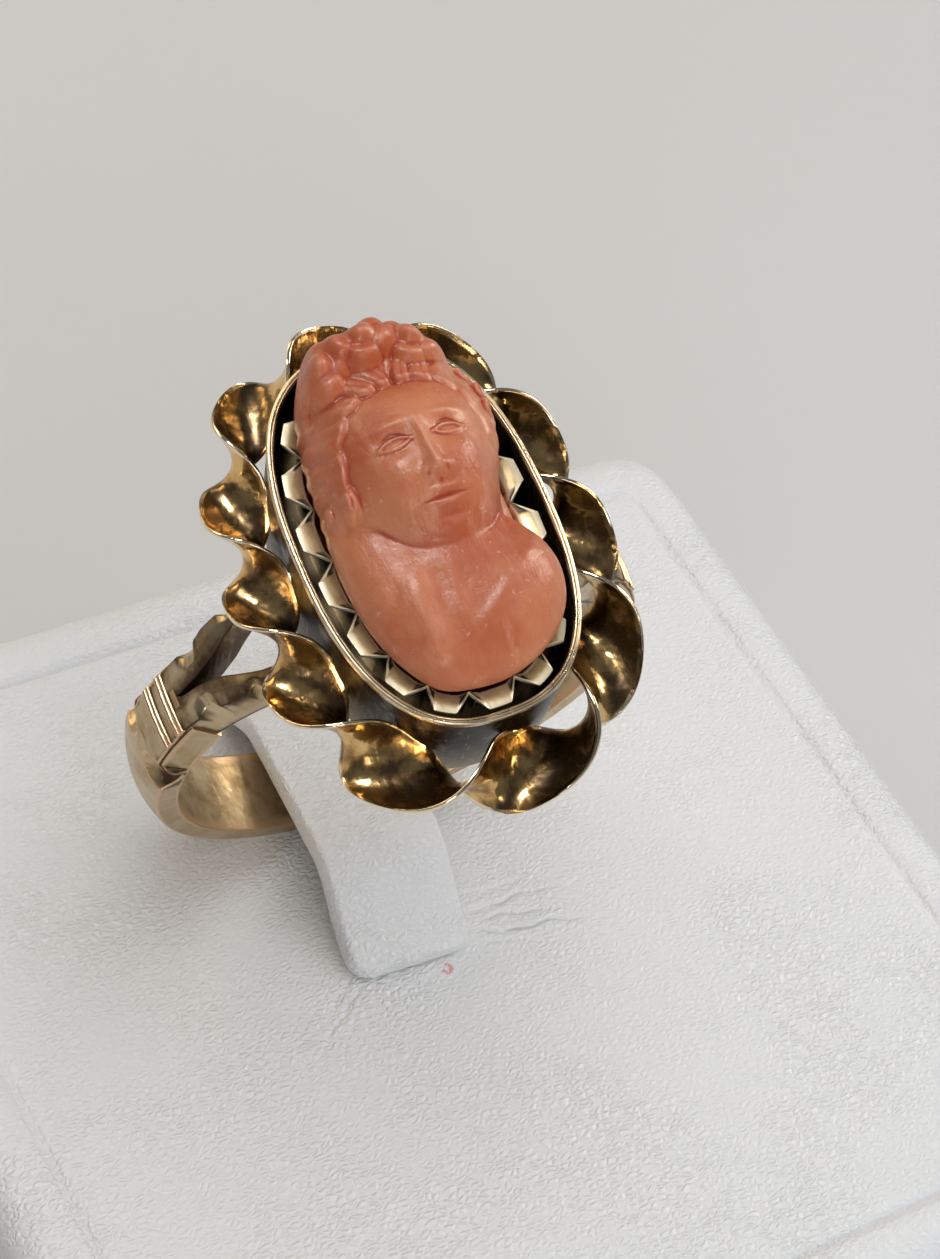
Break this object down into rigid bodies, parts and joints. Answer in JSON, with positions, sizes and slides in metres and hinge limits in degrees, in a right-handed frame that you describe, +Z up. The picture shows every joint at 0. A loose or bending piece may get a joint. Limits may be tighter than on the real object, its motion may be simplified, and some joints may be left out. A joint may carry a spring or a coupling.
{
  "type": "cameo ring on a display pad",
  "caption": "Gold ring with a carved coral cameo bust in a toothed oval setting and twisted ribbon border, held upright on a white leatherette display pad.",
  "frame": {"origin": "middle of the pad's underside", "axes": "+Z up from the pad, the finger's axis runs along Y with the bust's lower end towards -Y, and the shoulders of the ring lie along X"},
  "size_m": [0.0426, 0.04, 0.0367],
  "materials": {
    "gold": "worn satin gold, darkened in the recesses",
    "collar_gold": "satin gold",
    "coral": "waxy polished coral",
    "leatherette": "fine-grained white leatherette"
  },
  "bodies": {
    "root": {"gold_mount": "gold", "toothed_collar": "collar_gold", "coral_cameo": "coral", "display_pad": "leatherette", "pad_tongue": "leatherette"}
  },
  "joints": []
}
